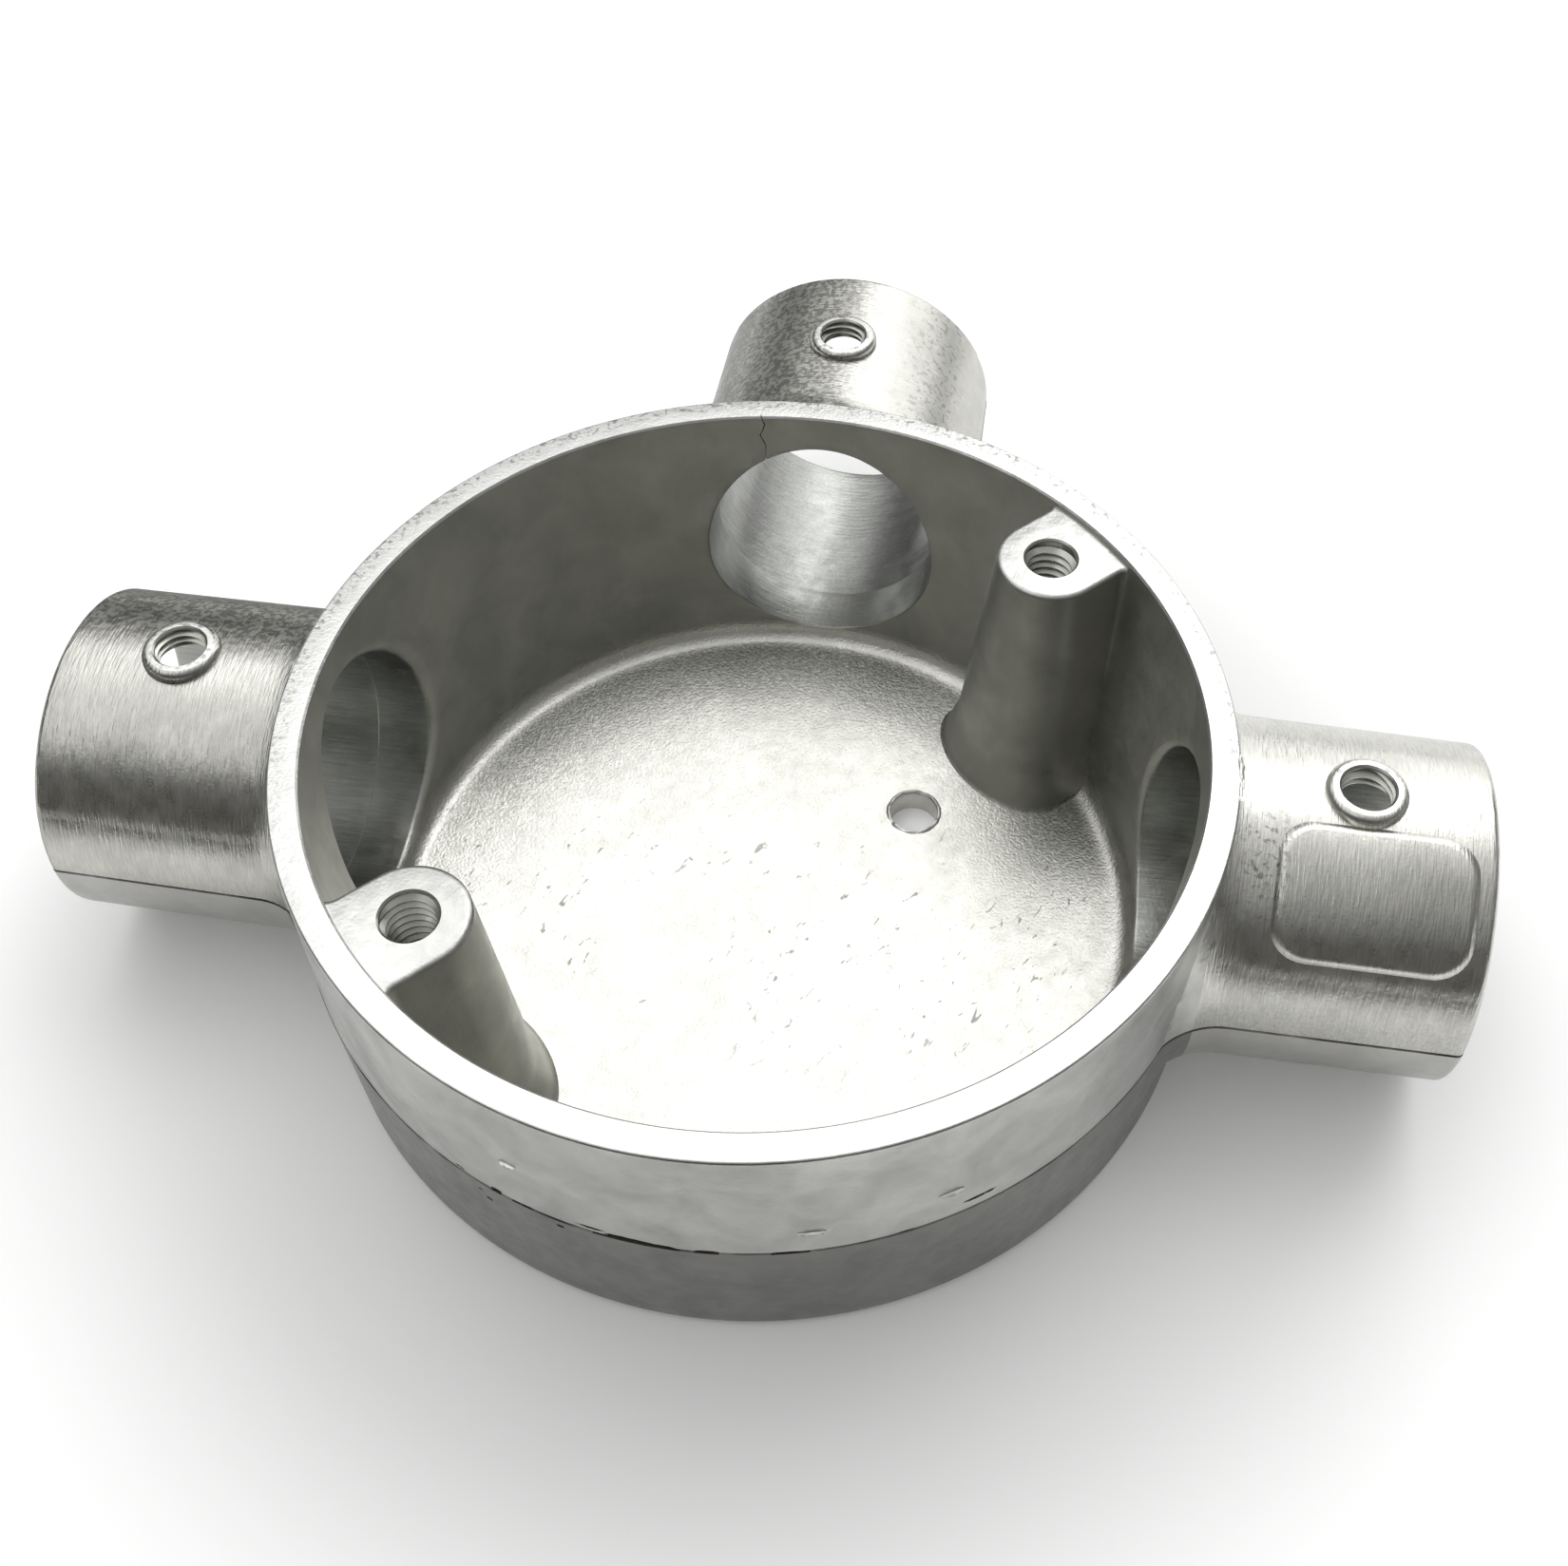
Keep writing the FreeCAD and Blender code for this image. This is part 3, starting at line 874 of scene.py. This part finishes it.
darker = [stain_shade * part for part in metal_colour]
satin, spout_satin = (0.30, 0.40), (0.25, 0.35)
skin_bumps, lower_bumps, inner_bumps = (0.016, 0.035, 0.035), (0.016, 0.03, 0.03), (0.012, 0.020, 0.02)
spout_bumps, socket_bumps, plain_bumps = (0.010, 0.004, 0.0), (0.010, 0.012, 0.02), (0.02, 0.02, 0.0)
lines_round_x, lines_round_y = (7500.0, 800.0, 800.0), (800.0, 7500.0, 800.0)
left_crown_shading, back_crown_shading = ("Z", 0.0135, 0.0185), ("Z", 0.0116, 0.0150)
off_floor_corner = ("R", 0.0260, 0.0252)
finishes = {
    "body": metal("body_skin", (0.64, 0.64, 0.62), (0.43, 0.43, 0.415), satin, skin_bumps),
    "boss_top": metal("boss_top_skin", (0.64, 0.64, 0.62), (0.50, 0.50, 0.48), satin, skin_bumps),
    # Painted shade: below the parting line and underneath, the casting is a much darker copy of its skin.
    "lower": metal(
        "lower_body_painted_shade", (0.265, 0.263, 0.25), (0.20, 0.198, 0.189), (0.32, 0.42), lower_bumps,
    ),
    # Painted shade: the spouts' lower halves are a darker copy of their skin.
    "spout_lower": metal("lower_spout_painted_shade", (0.50, 0.497, 0.475), (0.42, 0.417, 0.40), satin, lower_bumps),
    # Painted shade, partly over real speckle: the left spout's dull edge tint and the mottle and grain that
    # darken its back crown. Its hairlines are its own.
    "spout_left": metal(
        "left_spout_skin_and_painted_shade", metal_colour, darker, spout_satin, spout_bumps,
        lines_round_x, line_depth=0.016, line_shade=0.22,
        marks=[
            ("Mottle", 0.65, ("Y", -0.0005, 0.002), left_crown_shading),
            ("Fine", 1.2, ("Y", 0.005, 0.008), left_crown_shading),
        ], edge_tint=0.35,
    ),
    # Painted light and shade: the right spout is a lighter copy of the metal, and grain darkens its side
    # below the crown. Its specks are its own.
    "spout_right": metal(
        "right_spout_painted_light_and_shade", (0.72, 0.715, 0.67), (0.62, 0.616, 0.575), spout_satin, spout_bumps,
        lines_round_x, line_depth=0.015, line_shade=0.22,
        marks=[
            ("Speck", 0.6, ("Y", 0.0085, 0.0100)),
            ("Fine", 0.6, ("Z", 0.0165, 0.0135)),
            (
                "Speck", 0.8, ("X", 0.0352, 0.0338), ("X", 0.0310, 0.0325),
                ("Y", -0.0015, -0.0035), ("Y", -0.009, -0.006),
            ),
        ], edge_tint=0.95,
    ),
    # Painted light and shade: the back spout is a lighter copy of the metal, and mottle and grain darken
    # the left of its upper half. The specks on its right are its own.
    "spout_back": metal(
        "back_spout_painted_light_and_shade", (0.69, 0.685, 0.64), (0.59, 0.586, 0.545), spout_satin, (0.014, 0.006, 0.0),
        lines_round_y, line_depth=0.008, line_shade=0.12,
        marks=[
            ("Mottle", 0.65, ("X", 0.0035, -0.0015), back_crown_shading),
            ("Fine", 1.7, ("X", -0.006, -0.009), back_crown_shading),
            ("Speck", 0.5, ("X", 0.004, 0.007), ("X", 0.0098, 0.0088)),
        ], edge_tint=0.85,
    ),
    # Painted shade: the inner wall and, darker still, the far boss are shaded copies of the skin.
    "wall": metal("inner_wall_painted_shade", (0.57, 0.572, 0.53), (0.44, 0.442, 0.41), (0.42, 0.52), inner_bumps),
    "boss": metal("far_boss_painted_shade", (0.47, 0.472, 0.435), (0.37, 0.372, 0.34), (0.40, 0.50), inner_bumps),
    # The floor's flecks are its own; the grain over its back and beside the far boss is painted shade, and
    # the mottle towards the back is partly speckle and partly painted shade.
    "floor": metal(
        "inner_floor_skin_and_painted_shade", metal_colour, darker, (0.27, 0.37), (0.04, 0.015, 0.015),
        marks=[
            ("Fleck", 0.8, ("Y", 0.011, 0.004), ("Y", -0.016, -0.008)),
            ("Fine", 1.2, ("R", 0.0190, 0.0245), off_floor_corner, ("Y", 0.005, 0.012)),
            ("Fine", 0.9, ("X", 0.0155, 0.0195), ("Y", 0.0045, 0.0090), off_floor_corner),
            ("Mottle", 0.35, ("R", 0.0165, 0.0225), off_floor_corner, ("Y", 0.0, 0.008)),
        ], dish=1.5,
    ),
    "rim": metal(
        "ground_rim", (0.76, 0.76, 0.74), (0.68, 0.68, 0.66), (0.30, 0.42), plain_bumps,
        marks=[("Speck", 0.7, ("R", 0.0300, 0.0307), ("Y", -0.022, 0.004))],
    ),
    # Painted shade over a real bored finish: both sockets are darker copies of the metal.
    "socket_x": metal(
        "bored_side_socket_and_painted_shade", (0.52, 0.53, 0.50), (0.42, 0.43, 0.405), satin, socket_bumps,
        (350.0, 4200.0, 4200.0), line_depth=0.008, line_shade=0.25,
    ),
    "socket_y": metal(
        "bored_back_socket_and_painted_shade", (0.56, 0.57, 0.545), (0.47, 0.48, 0.455), (0.28, 0.38), socket_bumps,
        (500.0, 4200.0, 500.0), line_depth=0.006, line_shade=0.20,
        # Stains darken the back socket at both sides as painted shade, and grain darkens it towards its
        # bottom.
        marks=[
            ("Stain", 1.0, ("X", 0.002, 0.006)),
            ("Stain", 0.35, ("X", -0.003, -0.006)),
            ("Fine", 0.6, ("Z", 0.0055, 0.0035)),
        ],
    ),
    "tapped": metal(
        "tapped_thread", (0.62, 0.62, 0.58), (0.5, 0.5, 0.46), (0.26, 0.36), (0.010, 0.010, 0.0),
    ),
    "seam": metal("parting_seam", (0.42, 0.415, 0.39), (0.06, 0.055, 0.05), (0.5, 0.7), plain_bumps),
    "dirt": metal("pit_dirt", (0.10, 0.095, 0.085), (0.05, 0.045, 0.04), (0.6, 0.8), plain_bumps),
}
finish_names = list(finishes)
casting.data.materials.clear()
for name in finish_names:
    casting.data.materials.append(finishes[name])
face_slack = 0.05
level_normal = 0.95
mark_reach_along, mark_reach_up = 0.7, 0.8
spout_skin_start, spout_skin_radius = 30.5, 31.45
inner_edge_width = 0.2
boss_clear_of_wall = 0.1
floor_normal_at_boss, floor_normal_at_wall = 0.5, 0.15
boss_top_normal, boss_top_depth = 0.3, 1
outer_side_radius = 30
nick_least_rise, nick_margin = 0.02, 0.1
pit_least_depth = 0.03
spout_finishes = {0: "spout_right", 90: "spout_back", 180: "spout_left"}


def at_mark(place, marks, margin):
    """Whether a face of the outer wall lies at one of its marks, within a margin above and below."""
    turn = math.degrees(math.atan2(place.y, place.x))
    for angle, rise, length, height, _ in marks:
        along = math.radians(turn - angle) * parting_radius
        up = place.z - axis_height - rise
        if abs(along) < mark_reach_along * length and abs(up) < mark_reach_up * height + margin:
            return True
    return False


def finish_of(place, normal):
    """Finish of a face of the casting, from its middle and its normal."""
    x, y, z = place
    radius = math.hypot(x, y)
    in_groove = 0 < z - axis_height < groove_width
    # The underside takes the lower finish, painted shade.
    if z < hidden_under_face:
        return "lower"
    if z > rim_height - hidden_under_face and normal.z > level_normal:
        return "rim"
    for angle in lid_screw_angles:
        turn = math.radians(angle)
        apart = math.hypot(x - lid_screw_place * math.cos(turn), y - lid_screw_place * math.sin(turn))
        if apart < thread_radius + hole_chamfer and z < boss_top - just_short:
            return "tapped"
    for angle in spout_angles:
        turn = math.radians(angle)
        along = x * math.cos(turn) + y * math.sin(turn)
        across = y * math.cos(turn) - x * math.sin(turn)
        out = math.hypot(across, z - axis_height)
        outside = out > socket_radius + face_slack
        at_set_screw = math.hypot(along - set_screw_place, across) < thread_radius + hole_chamfer
        if at_set_screw and z > axis_height and outside:
            return "tapped"
        widest = (socket_radius if along > socket_stop - face_slack else throat_radius) + face_slack
        if along > 0 and out < widest and along > inner_wall_x(across, z) + face_slack:
            return "socket_y" if angle == 90 else "socket_x"
        if along > spout_skin_start and outside and radius > spout_skin_radius:
            if in_groove and along < spout_reach - hidden_under_face:
                return "seam"
            # Below the axis a spout takes its painted shade.
            return "spout_lower" if z < axis_height else spout_finishes[angle]
    if radius < inner_rim_radius + inner_edge_width:
        on_boss = radius < inner_wall_x(0, z) - boss_clear_of_wall
        facing_up = normal.z > (floor_normal_at_boss if on_boss else floor_normal_at_wall)
        if z < floor_height + face_slack or (z < floor_height + floor_round and facing_up):
            return "floor"
        if normal.z > boss_top_normal and z > boss_top - boss_top_depth:
            return "boss_top"
        # The far boss's sides take the boss finish and the rest the wall's; both are painted shade.
        return "boss" if on_boss and y > 0 else "wall"
    stands_out = radius - outer_wall_radius(z)
    # Raised nicks take the ground rim's lighter skin: bare metal that also paints part of their glint.
    if stands_out > nick_least_rise and at_mark(place, raised_nicks, nick_margin):
        return "rim"
    if radius > outer_side_radius:
        if stands_out < -pit_least_depth and at_mark(place, dirty_pits, 0):
            return "dirt"
        if in_groove:
            return "seam"
    # Below the parting line the outer wall takes the lower finish, painted shade.
    return "lower" if z < axis_height else "body"


for face in casting.data.polygons:
    face.material_index = finish_names.index(finish_of(face.center, face.normal))
for piece in [*threads, burr]:
    piece.data.materials.clear()
    piece.data.materials.append(finishes["body" if piece is burr else "tapped"])
for piece in [casting, *threads, burr]:
    piece.data.transform(Matrix.Scale(1 / MM_PER_M, 4))
    show_only(piece)
    bpy.ops.object.shade_smooth_by_angle(angle=smooth_angle)
    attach(piece, "root")
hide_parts("box_casting")

# Floor
# A plain pale table top under the box, large enough to fill the view.
# It glows a little where it is seen, less close to the box, so that the box's shadow stays.
floor_size = 3.0
floor_colour, floor_roughness, floor_shine = (0.93, 0.93, 0.925, 1), 0.9, 0.1
near_glow, far_glow = 0.10, 0.28
glow_start, glow_end = 0.042, 0.062
bpy.ops.object.select_all(action="DESELECT")
bpy.ops.mesh.primitive_plane_add(size=floor_size)
table = bpy.context.object
table.name = "floor"
table_paint = bpy.data.materials.new("pale_floor")
table_paint.use_nodes = True
tree = table_paint.node_tree
shader = tree.nodes["Principled BSDF"]
shader.inputs["Base Color"].default_value = floor_colour
shader.inputs["Roughness"].default_value = floor_roughness
shader.inputs["Specular IOR Level"].default_value = floor_shine
shader.inputs["Emission Color"].default_value = (1, 1, 1, 1)
seen = add_node(tree, "ShaderNodeLightPath").outputs
seen_ways = calculate(tree, "ADD", seen["Is Camera Ray"], seen["Is Glossy Ray"])
seen_ways = calculate(tree, "ADD", seen_ways, seen["Is Transmission Ray"])
place = add_node(tree, "ShaderNodeTexCoord").outputs["Object"]
away = add_node(tree, "ShaderNodeVectorMath", {0: place}, operation="LENGTH").outputs["Value"]
glow = in_range(tree, away, glow_start, glow_end, near_glow, far_glow, smooth=True)
tree.links.new(calculate(tree, "MULTIPLY", seen_ways, glow), shader.inputs["Emission Strength"])
table.data.materials.append(table_paint)

# Dark card
# A low dark card stands across the front, unseen by the camera.
# It gives the metal something dark to mirror.
card_length, card_height, card_place = 0.30, 0.052, -0.067
card_colour, card_roughness = (0.11, 0.108, 0.10, 1), 0.9
bpy.ops.object.select_all(action="DESELECT")
bpy.ops.mesh.primitive_plane_add(size=1)
card = bpy.context.object
card.name = "front_card"
card.data.transform(
    Matrix.Translation((0, card_place, card_height / 2)) @ Matrix.Rotation(math.pi / 2, 4, "X")
    @ Matrix.Diagonal((card_length, card_height, 1, 1))
)
card_paint = bpy.data.materials.new("dark_card")
card_paint.use_nodes = True
shader = card_paint.node_tree.nodes["Principled BSDF"]
shader.inputs["Base Color"].default_value = card_colour
shader.inputs["Roughness"].default_value = card_roughness
card.data.materials.append(card_paint)
card.visible_camera = card.visible_diffuse = card.visible_shadow = False

# Light
# A tall window-like panel behind and to the right, a weaker one overhead and one at the left.
# The room around them is dim below and bright above.
lamp_target = Vector((0, 0, 0.012))
back_turn = 0.4
back_start, back_end = -0.1, 0.4


def hang_panel(name, azimuth, elevation, distance, width, height, radiance):
    """Soft panel aimed at the box; the azimuth turns from +Y towards +X."""
    turn, rise = math.radians(azimuth), math.radians(elevation)
    way = Vector((math.sin(turn) * math.cos(rise), math.cos(turn) * math.cos(rise), math.sin(rise)))
    lamp = bpy.data.lights.new(name, "AREA")
    lamp.shape = "RECTANGLE"
    lamp.size, lamp.size_y = width, height
    lamp.energy = radiance * math.pi * width * height
    holder = bpy.data.objects.new(name, lamp)
    holder.location = lamp_target + way * distance
    holder.rotation_euler = way.to_track_quat("Z", "Y").to_euler()
    holder.visible_camera = False
    bpy.context.scene.collection.objects.link(holder)


hang_panel("window_panel", 23, 36, 0.8, 0.56, 1.0, 1.35)
hang_panel("sky_panel", -6, 58, 0.8, 0.8, 0.68, 0.7)
hang_panel("left_panel", -94, 57, 0.8, 1.2, 0.62, 0.7)

world = bpy.data.worlds.new("room")
world.use_nodes = True
tree = world.node_tree
way = add_node(tree, "ShaderNodeTexCoord").outputs["Generated"]
parts = add_node(tree, "ShaderNodeSeparateXYZ", {"Vector": way}).outputs


def room_side(steps):
    """Brightness of one side of the room by height, as (height, brightness) steps."""
    ramp = add_node(tree, "ShaderNodeValToRGB", {"Fac": parts["Z"]})
    points = ramp.color_ramp.elements
    for number, (height, bright) in enumerate(steps):
        point = points[number] if number < 2 else points.new(height)
        point.position = height
        point.color = (bright, bright, bright, 1)
    return ramp.outputs["Color"]


front = room_side([
    (0.0, 0.10), (1.0, 1.0), (0.50, 0.14), (0.64, 0.28), (0.76, 0.40), (0.90, 0.50), (0.97, 0.78),
])
back = room_side([(0.0, 0.20), (1.0, 1.0), (0.55, 0.26), (0.70, 0.40), (0.80, 0.90)])
towards_back = calculate(tree, "ADD", parts["Y"], calculate(tree, "MULTIPLY", parts["X"], back_turn))
side = in_range(tree, towards_back, back_start, back_end, smooth=True)
tree.links.new(shade_over(tree, side, front, back), tree.nodes["Background"].inputs["Color"])
bpy.context.scene.world = world
bpy.context.scene.view_settings.view_transform = "Standard"

# Camera
# Stands in front of the box, high up, and looks down into it.
lens = bpy.data.cameras.new("camera")
lens.lens = 42.342
lens.sensor_width = 36.0
lens.shift_x, lens.shift_y = -0.02456, -0.04987
lens.clip_start = 0.005
camera = bpy.data.objects.new("camera", lens)
camera.location = (0.016128, -0.074754, 0.11612)
camera.rotation_euler = [math.radians(value) for value in (39.897, 0.069, 8.810)]
bpy.context.scene.collection.objects.link(camera)
bpy.context.scene.camera = camera

bpy.context.view_layer.update()
